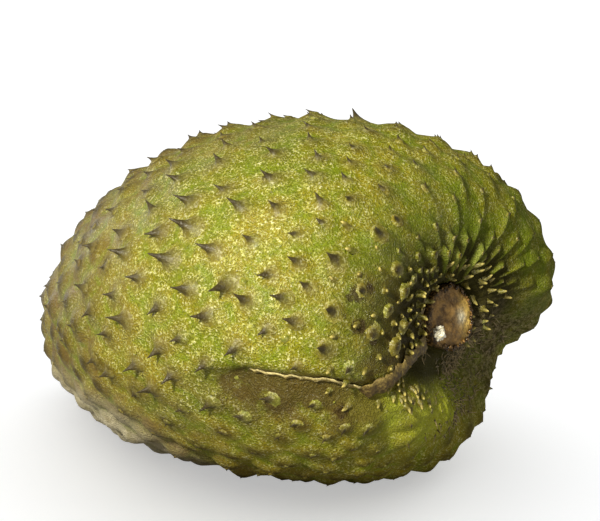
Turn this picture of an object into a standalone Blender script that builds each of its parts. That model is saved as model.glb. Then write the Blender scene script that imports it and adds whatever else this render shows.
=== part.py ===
"""A soursop: one picked fruit lying on its side, and the woody stub of its stem.

The fruit is built in metres about its own stem axis, with +X towards the stem,
and is then laid down on its underside. Every point of the skin has two angles:
the meridian angle t, 0 at the stem and pi at the far tip, and the clock angle
phi round the axis, 0 on top and pi / 2 on the +Y side.
"""

import math

import bmesh
import bpy
import numpy as np
from mathutils.geometry import delaunay_2d_cdt

# Body of the fruit
HALF_LENGTH = 0.0925
HALF_WIDTH = 0.0750
HALF_HEIGHT = 0.0571
MEAN_RADIUS = 0.5 * (HALF_WIDTH + HALF_HEIGHT)
TAPER = 0.095
FULLNESS = 0.90
BEND_Y = 0.0060
BEND_Z = -0.0093

# Stem end: a wide basin with a narrow pit for the stub at its middle
BASIN_DEPTH = 0.0353
BASIN_RADIUS = 0.0388
BASIN_DROP = -0.0031
PIT_DEPTH = 0.0035
PIT_FLOOR_RADIUS = 0.0118
PIT_RIM_RADIUS = 0.0150

# Lobe under the stem, set back from the upper shoulder
LOBE_BACK = 0.0198
LOBE_RING = 0.0380
LOBE_SPREAD = 0.0260
LOBE_AT = math.radians(162.0)
LOBE_ARC = 1.0

# Swells and folds of the skin
GROOVE_DEPTH = 0.0118
GROOVE_WIDTH = 0.0210
GROOVE_AT = math.radians(120.5)
CHEEK_HEIGHT = 0.0032
CHEEK_AT = math.radians(147.0)
HEEL_HEIGHT = 0.0036
HEEL_AT = math.radians(200.0)
CREASE_DEPTH = 0.0055
CREASE_WIDTH = 0.0034
DENT_DEPTH = 0.0075
DENT_WIDTH = 0.0150
LIP_WIDTH = 0.0024

# How the fruit lies
PITCH = math.radians(9.3)
ROLL = math.radians(-9.6)
SHIFT_X = 0.0278
SHIFT_Y = -0.0002
REST_HEIGHT = 0.0580

# Spines
GOLDEN_ANGLE = math.pi * (3.0 - math.sqrt(5.0))
FLANK_SPACING = 0.0126
STEM_SPACING = 0.0040
FLANK_SPINE = 0.0030
STEM_SPINE = 0.0024
SPINE_LEAN = 0.50
SEED = 11

# Stem stub
STUB_RADIUS = 0.0094
STUB_HEIGHT = 0.0062
STUB_GAP = 0.0003


def gap(a, b):
    """Signed difference between two angles, from -pi to pi."""
    return (a - b + math.pi) % (2.0 * math.pi) - math.pi


def fade(x, low, high):
    """Smooth step, 0 below low and 1 above high."""
    s = np.clip((x - low) / (high - low), 0.0, 1.0)
    return s * s * (3.0 - 2.0 * s)


def bump(x, width):
    """Bell curve, 1 at x = 0."""
    return np.exp(-((x / width) ** 2))


def body_radius(t):
    """Mean distance of the skin from the stem axis."""
    return np.maximum(np.sin(t), 1e-6) ** FULLNESS * (1.0 + TAPER * np.cos(t)) * MEAN_RADIUS


def body(t, phi):
    """The fruit without its folds, about the stem axis."""
    c = np.cos(t)
    r = body_radius(t)
    x = HALF_LENGTH * c - BASIN_DEPTH * bump(r, BASIN_RADIUS)
    ring = bump(r - LOBE_RING, LOBE_SPREAD) * fade(c, 0.0, 0.45)
    x = x - LOBE_BACK * ring * bump(gap(phi, LOBE_AT), LOBE_ARC)
    floor = HALF_LENGTH - BASIN_DEPTH - PIT_DEPTH
    wall = np.where(c > 0.0, fade(r, PIT_FLOOR_RADIUS, PIT_RIM_RADIUS), 1.0)
    x = floor + (x - floor) * wall
    u = x / HALF_LENGTH
    y = HALF_WIDTH / MEAN_RADIUS * r * np.sin(phi) + BEND_Y * u * u
    z = HALF_HEIGHT / MEAN_RADIUS * r * np.cos(phi) + BEND_Z * u * u
    return np.stack([x, y, z + BASIN_DROP * bump(t, 0.7)], axis=-1)


def crease_angle(t):
    """Clock angle at which the crease of the near flank runs."""
    path = (236.0, 241.0, 237.0, 243.5, 248.0, 247.0)
    return np.radians(np.interp(t, (0.10, 0.35, 0.64, 0.80, 1.10, 1.40), path))


def folds(t, phi):
    """Height of the skin above the body: swells, the far groove, the crease and its dent."""
    r = body_radius(t)
    groove = bump(gap(phi, GROOVE_AT) * r, GROOVE_WIDTH) * fade(t, 0.15, 0.40) * fade(-t, -1.6, -0.9)
    cheek = bump(gap(phi, CHEEK_AT), 0.6) * bump(t - 0.95, 0.45)
    heel = bump(gap(phi, HEEL_AT), 0.9) * bump(t - 2.2, 0.5)
    d = gap(phi, crease_angle(t)) * r
    crease = bump(d, CREASE_WIDTH) * fade(t, 0.17, 0.30) * fade(-t, -0.75, -0.60)
    hollow = np.where(d < 0.0, bump(d, DENT_WIDTH), bump(d, LIP_WIDTH))
    dent = hollow * fade(t, 0.50, 0.75) * fade(-t, -1.40, -1.10)
    rise = CHEEK_HEIGHT * cheek + HEEL_HEIGHT * heel
    return rise - GROOVE_DEPTH * groove - CREASE_DEPTH * crease - DENT_DEPTH * dent


def slopes(t, phi):
    """Change of the body per radian of each angle, and its outward normal."""
    e = 1e-3
    along = (body(t + e, phi) - body(t - e, phi)) / (2.0 * e)
    round_axis = (body(t, phi + e) - body(t, phi - e)) / (2.0 * e)
    n = np.cross(round_axis, along)
    return along, round_axis, n / np.linalg.norm(n, axis=-1, keepdims=True)


def skin(t, phi, lift=0.0, lean=0.0):
    """Points of the skin, raised by lift and leaned away from the stem by lean."""
    t = np.clip(t, 0.002, math.pi - 0.002)
    along, _, n = slopes(t, phi)
    away = along / np.linalg.norm(along, axis=-1, keepdims=True)
    rise = np.asarray(folds(t, phi) + lift)
    return body(t, phi) + n * rise[..., None] + away * np.asarray(lean)[..., None]


def lay_down(points):
    """Turn the fruit onto its side; the underside is pressed flat where it rests."""
    cp, sp = math.cos(PITCH), math.sin(PITCH)
    cr, sr = math.cos(ROLL), math.sin(ROLL)
    pitch = np.array([[cp, 0.0, -sp], [0.0, 1.0, 0.0], [sp, 0.0, cp]])
    roll = np.array([[1.0, 0.0, 0.0], [0.0, cr, -sr], [0.0, sr, cr]])
    q = points @ (pitch @ roll).T + np.array([SHIFT_X, SHIFT_Y, REST_HEIGHT])
    q[..., 2] = np.maximum(q[..., 2], 0.0)
    return q


def direction(t, phi):
    """Unit vector of a pair of angles, along which neighbours are measured."""
    s = np.sin(t)
    return np.stack([s * np.cos(phi), s * np.sin(phi), np.cos(t)], axis=-1)


def angles(v):
    """The pair of angles of unit vectors."""
    return np.arccos(np.clip(v[..., 2], -1.0, 1.0)), np.arctan2(v[..., 1], v[..., 0])


def around(t, phi, radius, count, turn):
    """Directions of count points on a circle on the skin round each place."""
    along, round_axis, _ = slopes(t, phi)
    per_t = 1.0 / np.linalg.norm(along, axis=-1)
    per_phi = np.sin(t) / np.linalg.norm(round_axis, axis=-1)
    e_t = np.stack([np.cos(t) * np.cos(phi), np.cos(t) * np.sin(phi), -np.sin(t)], axis=-1)
    e_phi = np.stack([-np.sin(phi), np.cos(phi), np.zeros_like(phi)], axis=-1)
    a = turn[:, None] + np.arange(count) * 2.0 * math.pi / count
    down = (radius[:, None] * np.cos(a) * per_t[:, None])[..., None] * e_t[:, None]
    side = (radius[:, None] * np.sin(a) * per_phi[:, None])[..., None] * e_phi[:, None]
    v = direction(t, phi)[:, None] + down + side
    return v / np.linalg.norm(v, axis=-1, keepdims=True)


def spacing(t):
    """Distance between neighbouring spines: close together round the stem."""
    r = body_radius(t)
    near = fade(r, PIT_RIM_RADIUS, 0.048) * fade(-t, -1.2, -0.6)
    near = np.where(t < 1.2, np.maximum(near, fade(t, 0.6, 1.2)), 1.0)
    return STEM_SPACING + (FLANK_SPACING - STEM_SPACING) * near


def spine_places():
    """Angles of the spines, in the one spiral in which the flower's parts grew."""
    t = np.linspace(0.0, math.pi, 3001)
    x, r = body(t, np.full_like(t, 0.5 * math.pi))[:, 0], body_radius(t)
    ring = 2.0 * math.pi * 0.5 * (r[1:] + r[:-1]) * np.hypot(np.diff(x), np.diff(r))
    ring = ring * (np.maximum(r[1:], 0.0) > PIT_RIM_RADIUS + 0.0010 * (t[1:] < 1.0))
    count = np.concatenate([[0.0], np.cumsum(ring / (0.866 * spacing(t[1:]) ** 2))])
    order = np.arange(int(count[-1])) + 0.5
    rng = np.random.default_rng(SEED)
    at = np.interp(order, count, t)
    turn = (order * GOLDEN_ANGLE) % (2.0 * math.pi)
    wander = 0.09 * spacing(at) / MEAN_RADIUS
    at = at + rng.normal(0.0, 1.0, len(at)) * wander
    turn = turn + rng.normal(0.0, 1.0, len(at)) * wander / np.maximum(np.sin(at), 0.1)
    return at, turn, rng.uniform(0.60, 1.35, len(at))


def spines():
    """Angles, heights and base radii of the spines that stand clear of the folds and the floor."""
    t, phi, size = spine_places()
    gaps = spacing(t)
    stem = 1.0 - fade(gaps, STEM_SPACING, FLANK_SPACING)
    height = (FLANK_SPINE + (STEM_SPINE - FLANK_SPINE) * stem) * size
    under = bump(gap(phi, math.pi), 1.1)
    height = height * (1.0 - 0.45 * fade(t, 2.1, 2.7)) * (1.0 - 0.45 * under)
    base = 0.29 * gaps * (0.80 + 0.20 * size)
    depth = lay_down(skin(t, phi))[:, 2]
    clear = np.abs(gap(phi, crease_angle(t)) * body_radius(t)) > 0.0030 + base
    keep = (depth > 0.0035) & (clear | (t > 1.35)) & (t < math.pi - 0.15)
    return t[keep], phi[keep], height[keep], base[keep]


def ring_rows():
    """Directions of the rows that shape the pit's floor and rim, the crease and the tip."""
    rows = []
    for r, turn in ((PIT_FLOOR_RADIUS - 0.0006, 0.0), (PIT_RIM_RADIUS, 0.5)):
        t = np.interp(r, body_radius(np.linspace(0.0, 1.0, 900)), np.linspace(0.0, 1.0, 900))
        a = (np.arange(20) + turn) * 2.0 * math.pi / 20
        rows.append(direction(np.full(20, t), a))
    t = np.arange(0.24, 1.30, 0.055)
    for offset in (0.0032, 0.0, -0.0045):
        rows.append(direction(t, crease_angle(t) + offset / body_radius(t)))
    tip = np.arange(8) * 2.0 * math.pi / 8
    rows.append(direction(np.full(8, math.pi - 0.11), tip))
    return np.concatenate(rows)


def thin(points, lifts, extra, distance):
    """Add the extra directions that keep their distance from all those already there."""
    kept = list(points)
    raised = list(lifts)
    for v, least in zip(extra, distance):
        if (np.linalg.norm(np.asarray(kept) - v, axis=1) > least).all():
            kept.append(v)
            raised.append(0.0)
    return kept, raised


def filler():
    """An even spiral of directions that fills the bare skin between the spines."""
    n = 2600
    z = 1.0 - 2.0 * (np.arange(n) + 0.5) / n
    phi = np.arange(n) * GOLDEN_ANGLE
    return direction(np.arccos(z), phi)


def fruit_points():
    """Directions and lifts of all the corners of the fruit's mesh."""
    t, phi, height, base = spines()
    rows = ring_rows()
    points = list(rows)
    lifts = [0.0] * len(rows)
    centres = direction(t, phi)
    far = np.array([np.linalg.norm(rows - v, axis=1).min() for v in centres]) > 0.030
    for v, h in zip(centres[far], height[far]):
        points.append(v)
        lifts.append(h)
    feet = around(t[far], phi[far], base[far], 6, phi[far])
    least = np.repeat(0.62 * base[far] / MEAN_RADIUS, 6)
    points, lifts = thin(points, lifts, feet.reshape(-1, 3), least)
    bare = filler()
    bare = bare[(bare[:, 2] < 0.985) & (bare[:, 2] > math.cos(math.pi - 0.16))]
    points, lifts = thin(points, lifts, bare, np.full(len(bare), 0.085))
    return np.asarray(points), np.asarray(lifts)


def triangles(v):
    """Triangles between directions, from the Delaunay net of their map seen from the tip."""
    flat = v[:, :2] / (1.0 + v[:, 2:3])
    net = delaunay_2d_cdt([tuple(p) for p in flat], [], [], 0, 1e-9)
    owner = [ids[0] for ids in net[3]]
    return [tuple(owner[i] for i in face) for face in net[2]]


def close_tip(faces, rim, tip):
    """Fan of triangles from the rim of the net to the tip."""
    return faces + [(rim[i], tip, rim[(i + 1) % len(rim)]) for i in range(len(rim))]


def make_object(name, points, faces, colour, roughness):
    """One closed mesh object with its own material and outward faces."""
    mesh = bpy.data.meshes.new(name)
    mesh.from_pydata([tuple(p) for p in points], [], faces)
    bm = bmesh.new()
    bm.from_mesh(mesh)
    bmesh.ops.triangulate(bm, faces=bm.faces)
    bmesh.ops.recalc_face_normals(bm, faces=bm.faces)
    if bm.calc_volume(signed=True) < 0.0:
        bmesh.ops.reverse_faces(bm, faces=bm.faces)
    bm.to_mesh(mesh)
    bm.free()
    material = bpy.data.materials.new(name)
    material.use_nodes = True
    shader = material.node_tree.nodes["Principled BSDF"]
    shader.inputs["Base Color"].default_value = (*colour, 1.0)
    shader.inputs["Roughness"].default_value = roughness
    mesh.materials.append(material)
    obj = bpy.data.objects.new(name, mesh)
    bpy.context.scene.collection.objects.link(obj)
    return obj


def make_fruit():
    """The grown body: skin, spines, pit, crease and resting face."""
    v, lift = fruit_points()
    faces = triangles(v)
    t, phi = angles(v)
    spot = lay_down(skin(t, phi, lift, SPINE_LEAN * lift))
    tip_point = lay_down(skin(np.array([math.pi]), np.array([0.0]), 0.0020))
    rim = [i for i in range(len(v)) if t[i] > math.pi - 0.115]
    rim.sort(key=lambda i: phi[i])
    faces = close_tip(faces, rim, len(v))
    return make_object("fruit", np.concatenate([spot, tip_point]), faces, (0.23, 0.24, 0.06), 0.45)


def make_stub():
    """The broken-off stem: a short woody disc with a domed face, seated in the pit."""
    floor = HALF_LENGTH - BASIN_DEPTH - PIT_DEPTH
    profile = ((0.90, 0.0), (1.0, 0.18), (1.0, 0.72), (0.90, 0.90), (0.55, 0.98))
    count = 28
    a = np.arange(count) * 2.0 * math.pi / count
    u = floor / HALF_LENGTH
    centre = np.array([floor + STUB_GAP, BEND_Y * u * u, BEND_Z * u * u + BASIN_DROP])
    rings = [np.array([[0.0, 0.0, 0.0]])]
    for size, height in profile:
        r = STUB_RADIUS * size
        ring = [np.full(count, STUB_HEIGHT * height), 1.07 * r * np.sin(a), r * np.cos(a)]
        rings.append(np.stack(ring, axis=-1))
    rings.append(np.array([[STUB_HEIGHT, 0.0, 0.0]]))
    points = lay_down(np.concatenate(rings) + centre)
    last = 1 + len(profile) * count
    faces = []
    for j in range(count):
        k = (j + 1) % count
        faces.append((0, 1 + j, 1 + k))
        faces.append((last, last - count + k, last - count + j))
        for i in range(len(profile) - 1):
            low = 1 + i * count
            faces.append((low + j, low + count + j, low + count + k, low + k))
    return make_object("stem_stub", points, faces, (0.20, 0.13, 0.06), 0.85)


def clear_scene():
    """Start from an empty scene."""
    for obj in list(bpy.data.objects):
        bpy.data.objects.remove(obj, do_unlink=True)


clear_scene()
make_fruit()
make_stub()
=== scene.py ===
"""A whole picked soursop lying on its side, with the broken-off stub of its stem in its sunken end."""

import math

import bmesh
import bpy
import mathutils
import numpy as np
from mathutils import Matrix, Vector
from mathutils.kdtree import KDTree


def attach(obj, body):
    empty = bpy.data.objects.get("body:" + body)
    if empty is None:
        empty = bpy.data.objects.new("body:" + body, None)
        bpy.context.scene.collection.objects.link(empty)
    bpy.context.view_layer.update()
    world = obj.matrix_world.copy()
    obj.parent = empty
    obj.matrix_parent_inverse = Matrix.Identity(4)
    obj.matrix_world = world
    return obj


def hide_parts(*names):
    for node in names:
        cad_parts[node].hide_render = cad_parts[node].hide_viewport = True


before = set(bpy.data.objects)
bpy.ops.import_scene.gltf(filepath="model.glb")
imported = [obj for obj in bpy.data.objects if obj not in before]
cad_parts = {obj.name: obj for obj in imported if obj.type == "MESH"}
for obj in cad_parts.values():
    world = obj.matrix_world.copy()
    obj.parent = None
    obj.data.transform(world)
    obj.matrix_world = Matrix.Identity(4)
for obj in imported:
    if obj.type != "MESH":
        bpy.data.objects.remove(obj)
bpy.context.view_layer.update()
scene = bpy.context.scene


# ---------------------------------------------------------------------------
# Camera. It looks down a little at the near flank of the fruit, with the stem
# end turned to the right, from about half a metre away.
# ---------------------------------------------------------------------------

STEM_AXIS_X = 0.0278
STEM_AXIS_Y = -0.0002
STEM_AXIS_Z = 0.0580
CAMERA_ANGLE = math.radians(42.0)
CAMERA_RISE = math.radians(14.3)
CAMERA_DISTANCE = 0.475
CAMERA_LENS = 86.0
AIM_LEFT = 0.0012
AIM_ABOVE = 0.0112

to_camera = Vector((
    math.sin(CAMERA_ANGLE) * math.cos(CAMERA_RISE),
    -math.cos(CAMERA_ANGLE) * math.cos(CAMERA_RISE),
    math.sin(CAMERA_RISE),
))
to_right = Vector((math.cos(CAMERA_ANGLE), math.sin(CAMERA_ANGLE), 0.0))
to_top = to_camera.cross(to_right)
middle = Vector((STEM_AXIS_X, STEM_AXIS_Y, STEM_AXIS_Z + 0.0005))


def face_along(obj, direction):
    """Turn a camera or a light so that it looks against the direction."""
    obj.rotation_mode = "QUATERNION"
    obj.rotation_quaternion = direction.to_track_quat("Z", "Y")


def add_object(name, data):
    """A new object of the scene that holds this camera, lamp or mesh."""
    obj = bpy.data.objects.new(name, data)
    scene.collection.objects.link(obj)
    return obj


camera_data = bpy.data.cameras.new("camera")
camera_data.lens = CAMERA_LENS
camera_data.clip_start = 0.01
camera = add_object("camera", camera_data)
camera.location = middle + to_camera * CAMERA_DISTANCE
aim = middle - to_right * AIM_LEFT + to_top * AIM_ABOVE
face_along(camera, camera.location - aim)
scene.camera = camera


# ---------------------------------------------------------------------------
# Floor and light. A wide white table under one fairly hard lamp from the upper
# left, with broad weak lamps at the back left and the front right and a dim room.
# Those leave the table alone, and a broad overhead lamp gives it a soft shadow.
# ---------------------------------------------------------------------------

FLOOR_SIZE = 14.0
FLOOR_SEEN = (0.88, 0.895, 0.92, 1.0)
FLOOR_GLOW = 0.45
FLOOR_BOUNCE = (0.60, 0.59, 0.55, 1.0)
ROOM_COLOUR = (1.0, 0.99, 0.93, 1.0)
ROOM_STRENGTH = 0.25
WHITE = (1.0, 1.0, 1.0, 1.0)
KEY_POWER = 14.4
KEY_SIZE = 0.10
KEY_DISTANCE = 1.0
KEY_COLOUR = (1.0, 0.98, 0.85)
TABLE_LAMP_POWER = 1.6
TABLE_LAMP_HEIGHT = 1.6
TABLE_LAMP_SPREAD = math.radians(120.0)
BACK_LAMP_POWER = 3.5
BACK_LAMP_SIZE = 0.8
BACK_LAMP_DISTANCE = 1.2
FILL_POWER = 5.2
FILL_SIZE = 0.9
FILL_DISTANCE = 1.0
FILL_COLOUR = (1.0, 0.98, 0.94)


def seen_from(right, top, near, up=0.0):
    """Direction that leads so far to the right, the top and the eye of the view, and upwards."""
    return (right * to_right + top * to_top + near * to_camera + up * Vector((0.0, 0.0, 1.0))).normalized()


def add_lamp(name, power, size, place, colour=WHITE[:3]):
    """A square lamp at a place, looking at the middle of the fruit."""
    data = bpy.data.lights.new(name, "AREA")
    data.energy = power
    data.size = size
    data.color = colour
    lamp = add_object(name, data)
    lamp.location = place
    face_along(lamp, place - middle)
    return lamp


def light_only(lamp, objects, state):
    """Limit a lamp to some objects, or make it leave them out."""
    group = bpy.data.collections.new(lamp.name + "_light")
    for obj in objects:
        group.objects.link(obj)
    for entry in group.collection_objects:
        entry.light_linking.link_state = state
    lamp.light_linking.receiver_collection = group


def feed(tree, node, values):
    """Fill inputs of a node, each from a socket or with a plain value."""
    for key, value in values.items():
        if isinstance(value, bpy.types.NodeSocket):
            tree.links.new(value, node.inputs[key])
        else:
            node.inputs[key].default_value = value
    return node


def add_node(tree, kind, values=None, **settings):
    """A new node with its settings and its filled inputs."""
    node = tree.nodes.new(kind)
    for name, setting in settings.items():
        setattr(node, name, setting)
    return feed(tree, node, values or {})


def split_by_eye(tree, elsewhere, seen, output):
    """Give the eye one shader and all other rays of light another."""
    to_eye = add_node(tree, "ShaderNodeLightPath").outputs["Is Camera Ray"]
    mix = add_node(tree, "ShaderNodeMixShader", {0: to_eye, 1: elsewhere.outputs[0], 2: seen.outputs[0]})
    feed(tree, output, {"Surface": mix.outputs[0]})


def make_floor():
    """A white matte table top, dimmer to everything but the eye so that it throws little light back."""
    mesh = bpy.data.meshes.new("floor")
    h = FLOOR_SIZE / 2.0
    mesh.from_pydata([(-h, -h, 0), (h, -h, 0), (h, h, 0), (-h, h, 0)], [], [(0, 1, 2, 3)])
    material = bpy.data.materials.new("table_white")
    material.use_nodes = True
    tree = material.node_tree
    seen = feed(tree, tree.nodes["Principled BSDF"], {
        "Base Color": FLOOR_SEEN, "Roughness": 0.9, "Emission Color": WHITE, "Emission Strength": FLOOR_GLOW})
    dim = add_node(tree, "ShaderNodeBsdfDiffuse", {"Color": FLOOR_BOUNCE})
    split_by_eye(tree, dim, seen, tree.nodes["Material Output"])
    mesh.materials.append(material)
    floor = add_object("floor", mesh)
    return floor


def make_room():
    """A dim warm room that lights the fruit, with a plain white wall for the eye."""
    room = bpy.data.worlds.new("room")
    room.use_nodes = True
    tree = room.node_tree
    glow = feed(tree, tree.nodes["Background"], {"Color": ROOM_COLOUR, "Strength": ROOM_STRENGTH})
    wall = add_node(tree, "ShaderNodeBackground", {"Color": WHITE})
    split_by_eye(tree, glow, wall, tree.nodes["World Output"])
    return room


floor = make_floor()
key_place = middle + seen_from(-0.38, 0.31, 0.87) * KEY_DISTANCE
light_only(add_lamp("key", KEY_POWER, KEY_SIZE, key_place, KEY_COLOUR), [floor], "EXCLUDE")
back_place = middle + seen_from(-0.75, 0.0, -0.66, 0.30) * BACK_LAMP_DISTANCE
light_only(add_lamp("back_lamp", BACK_LAMP_POWER, BACK_LAMP_SIZE, back_place), [floor], "EXCLUDE")
fill_place = middle + seen_from(0.40, -0.46, 0.79) * FILL_DISTANCE
light_only(add_lamp("fill_lamp", FILL_POWER, FILL_SIZE, fill_place, FILL_COLOUR), [floor], "EXCLUDE")
table_lamp = add_lamp("table_lamp", TABLE_LAMP_POWER, 1.0, middle + Vector((0.0, 0.0, TABLE_LAMP_HEIGHT)))
table_lamp.data.type = "SUN"
table_lamp.data.angle = TABLE_LAMP_SPREAD
light_only(table_lamp, [floor], "INCLUDE")
scene.world = make_room()
scene.view_settings.view_transform = "Standard"


# ---------------------------------------------------------------------------
# Skin. The whole outside of the fruit grew in one piece round its core: a thin
# leathery rind, swollen into a lobe under the stem, creased on the near flank
# and drawn up into a fleshy mound under each spine.
# ---------------------------------------------------------------------------

HALF_LENGTH = 0.0925
HALF_WIDTH = 0.0750
HALF_HEIGHT = 0.0571
MEAN_RADIUS = 0.5 * (HALF_WIDTH + HALF_HEIGHT)
TAPER = 0.095
FULLNESS = 0.90
BEND_Y = 0.0060
BEND_Z = -0.0093
BASIN_DEPTH = 0.0353
BASIN_RADIUS = 0.0388
BASIN_DROP = -0.0031
PIT_DEPTH = 0.0035
PIT_FLOOR_RADIUS = 0.0118
PIT_RIM_RADIUS = 0.0150
LOBE_BACK = 0.0198
LOBE_RING = 0.0380
LOBE_SPREAD = 0.0260
LOBE_AT = math.radians(162.0)
LOBE_ARC = 1.0
GROOVE_DEPTH = 0.0118
GROOVE_WIDTH = 0.0210
GROOVE_AT = math.radians(120.5)
CHEEK_HEIGHT = 0.0032
CHEEK_AT = math.radians(147.0)
HEEL_HEIGHT = 0.0036
HEEL_AT = math.radians(200.0)
BROW_HEIGHT = 0.0085
BROW_AT = math.radians(184.0)
CREASE_DEPTH = 0.0030
CREASE_WIDTH = 0.0034
DENT_DEPTH = 0.0044
DENT_WIDTH = 0.0150
LIP_WIDTH = 0.0040
PITCH = math.radians(9.3)
ROLL = math.radians(-9.6)
SKIN_COLUMNS = 400
SKIN_STEP_FINE = 0.00056
SKIN_STEP_WIDE = 0.00150
GOLDEN_ANGLE = math.pi * (3.0 - math.sqrt(5.0))
FLANK_SPACING = 0.0126
STEM_SPACING = 0.0040
CROWD_SPACING = 0.0045
MIX_FACTOR = 0
MIX_COLOURS = (6, 7)
MIX_COLOUR_OUT = 2
CROWD_SEED = 5
SPINE_SEED = 11
TUFT_COUNT = 15
BLEMISHES = ((1.156, 311.0, 0.0019), (0.652, 281.3, 0.0034), (0.610, 284.5, 0.0026), (0.684, 278.7, 0.0020),
             (0.631, 268.0, 0.0032), (0.799, 230.0, 0.0034), (0.700, 272.0, 0.0016), (0.560, 262.0, 0.0022))


def gap(a, b):
    """Signed difference between two angles, from -pi to pi."""
    return (a - b + math.pi) % (2.0 * math.pi) - math.pi


def fade(x, low, high):
    """Smooth step, 0 below low and 1 above high."""
    s = np.clip((x - low) / (high - low), 0.0, 1.0)
    return s * s * (3.0 - 2.0 * s)


def bump(x, width):
    """Bell curve, 1 at x = 0."""
    return np.exp(-((x / width) ** 2))


def facing(phi, degrees, width):
    """Bell curve round the skin, 1 at this clock angle."""
    return bump(gap(phi, math.radians(degrees)), width)


def body_radius(t):
    """Mean distance of the skin from the stem axis; t is 0 at the stem and pi at the tip."""
    return np.maximum(np.sin(t), 1e-6) ** FULLNESS * (1.0 + TAPER * np.cos(t)) * MEAN_RADIUS


def body(t, phi):
    """The fruit without its folds; phi turns round the stem axis from the top."""
    c = np.cos(t)
    r = body_radius(t)
    x = HALF_LENGTH * c - BASIN_DEPTH * bump(r, BASIN_RADIUS)
    ring = bump(r - LOBE_RING, LOBE_SPREAD) * fade(c, 0.0, 0.45)
    x = x - LOBE_BACK * ring * bump(gap(phi, LOBE_AT), LOBE_ARC)
    pit_floor = HALF_LENGTH - BASIN_DEPTH - PIT_DEPTH
    wall = np.where(c > 0.0, fade(r, PIT_FLOOR_RADIUS, PIT_RIM_RADIUS), 1.0)
    x = pit_floor + (x - pit_floor) * wall
    u = x / HALF_LENGTH
    y = HALF_WIDTH / MEAN_RADIUS * r * np.sin(phi) + BEND_Y * u * u
    z = HALF_HEIGHT / MEAN_RADIUS * r * np.cos(phi) + BEND_Z * u * u
    return np.stack([x, y, z + BASIN_DROP * bump(t, 0.7)], axis=-1)


def crease_angle(t):
    """Clock angle at which the crease of the near flank runs."""
    path = (236.0, 241.0, 237.0, 243.5, 248.0, 247.0)
    return np.radians(np.interp(t, (0.10, 0.35, 0.64, 0.80, 1.10, 1.40), path))


def folds(t, phi):
    """Height of the skin above the body: swells, the far groove, the crease and its dent."""
    r = body_radius(t)
    groove = bump(gap(phi, GROOVE_AT) * r, GROOVE_WIDTH) * fade(t, 0.15, 0.40) * fade(-t, -1.6, -0.9)
    cheek = bump(gap(phi, CHEEK_AT), 0.6) * bump(t - 0.95, 0.45)
    heel = bump(gap(phi, HEEL_AT), 0.9) * bump(t - 2.2, 0.5)
    d = gap(phi, crease_angle(t)) * r
    crease = bump(d + 0.0052, CREASE_WIDTH) * fade(t, 0.15, 0.28) * fade(-t, -0.70, -0.45)
    hollow = np.where(d < 0.0, bump(d, DENT_WIDTH), bump(d, LIP_WIDTH))
    dent = hollow * fade(t, 0.50, 0.75) * fade(-t, -1.40, -1.10)
    brow = bump(gap(phi, BROW_AT), 0.66) * bump(t - 0.44, 0.19)
    rise = CHEEK_HEIGHT * cheek + HEEL_HEIGHT * heel + BROW_HEIGHT * brow
    return rise - GROOVE_DEPTH * groove - CREASE_DEPTH * crease - DENT_DEPTH * dent


def slopes(t, phi):
    """Change of the body per radian of each angle, and its outward normal."""
    e = 1e-3
    along = (body(t + e, phi) - body(t - e, phi)) / (2.0 * e)
    round_axis = (body(t, phi + e) - body(t, phi - e)) / (2.0 * e)
    n = np.cross(round_axis, along)
    return along, round_axis, n / np.linalg.norm(n, axis=-1, keepdims=True)


def turned(vectors):
    """Vectors of the upright fruit as they are once it lies on its side."""
    cp, sp = math.cos(PITCH), math.sin(PITCH)
    cr, sr = math.cos(ROLL), math.sin(ROLL)
    pitch = np.array([[cp, 0.0, -sp], [0.0, 1.0, 0.0], [sp, 0.0, cp]])
    roll = np.array([[1.0, 0.0, 0.0], [0.0, cr, -sr], [0.0, sr, cr]])
    return vectors @ (pitch @ roll).T


def lay_down(points):
    """Points of the upright fruit as it lies on the table, with its underside pressed flat."""
    q = turned(points) + np.array([STEM_AXIS_X, STEM_AXIS_Y, STEM_AXIS_Z])
    q[..., 2] = np.maximum(q[..., 2], 0.0)
    return q


def skin_point(t, phi, lift=0.0):
    """Place on the table and outward direction of points of the skin, raised by lift."""
    t = np.clip(t, 0.002, math.pi - 0.002)
    n = slopes(t, phi)[2]
    rise = np.asarray(folds(t, phi) + lift)
    return lay_down(body(t, phi) + n * rise[..., None]), turned(n)


def spacing(t):
    """Distance between neighbouring spines: close together round the stem."""
    r = body_radius(t)
    near = fade(r, PIT_RIM_RADIUS, 0.048) * fade(-t, -1.2, -0.6)
    near = np.where(t < 1.2, np.maximum(near, fade(t, 0.6, 1.2)), 1.0)
    return STEM_SPACING + (FLANK_SPACING - STEM_SPACING) * near


def bare(t, phi):
    """True where the flesh is torn or sunken and bears no spines: under the stem and at its far side."""
    reach = body_radius(t)
    below = (np.abs(gap(phi, math.radians(182.0))) < 0.88) & (reach < 0.0270)
    beside = (np.abs(gap(phi, math.radians(108.0))) < 0.52) & (reach > 0.0180)
    return (below | beside) & (t < 0.72)


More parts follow.
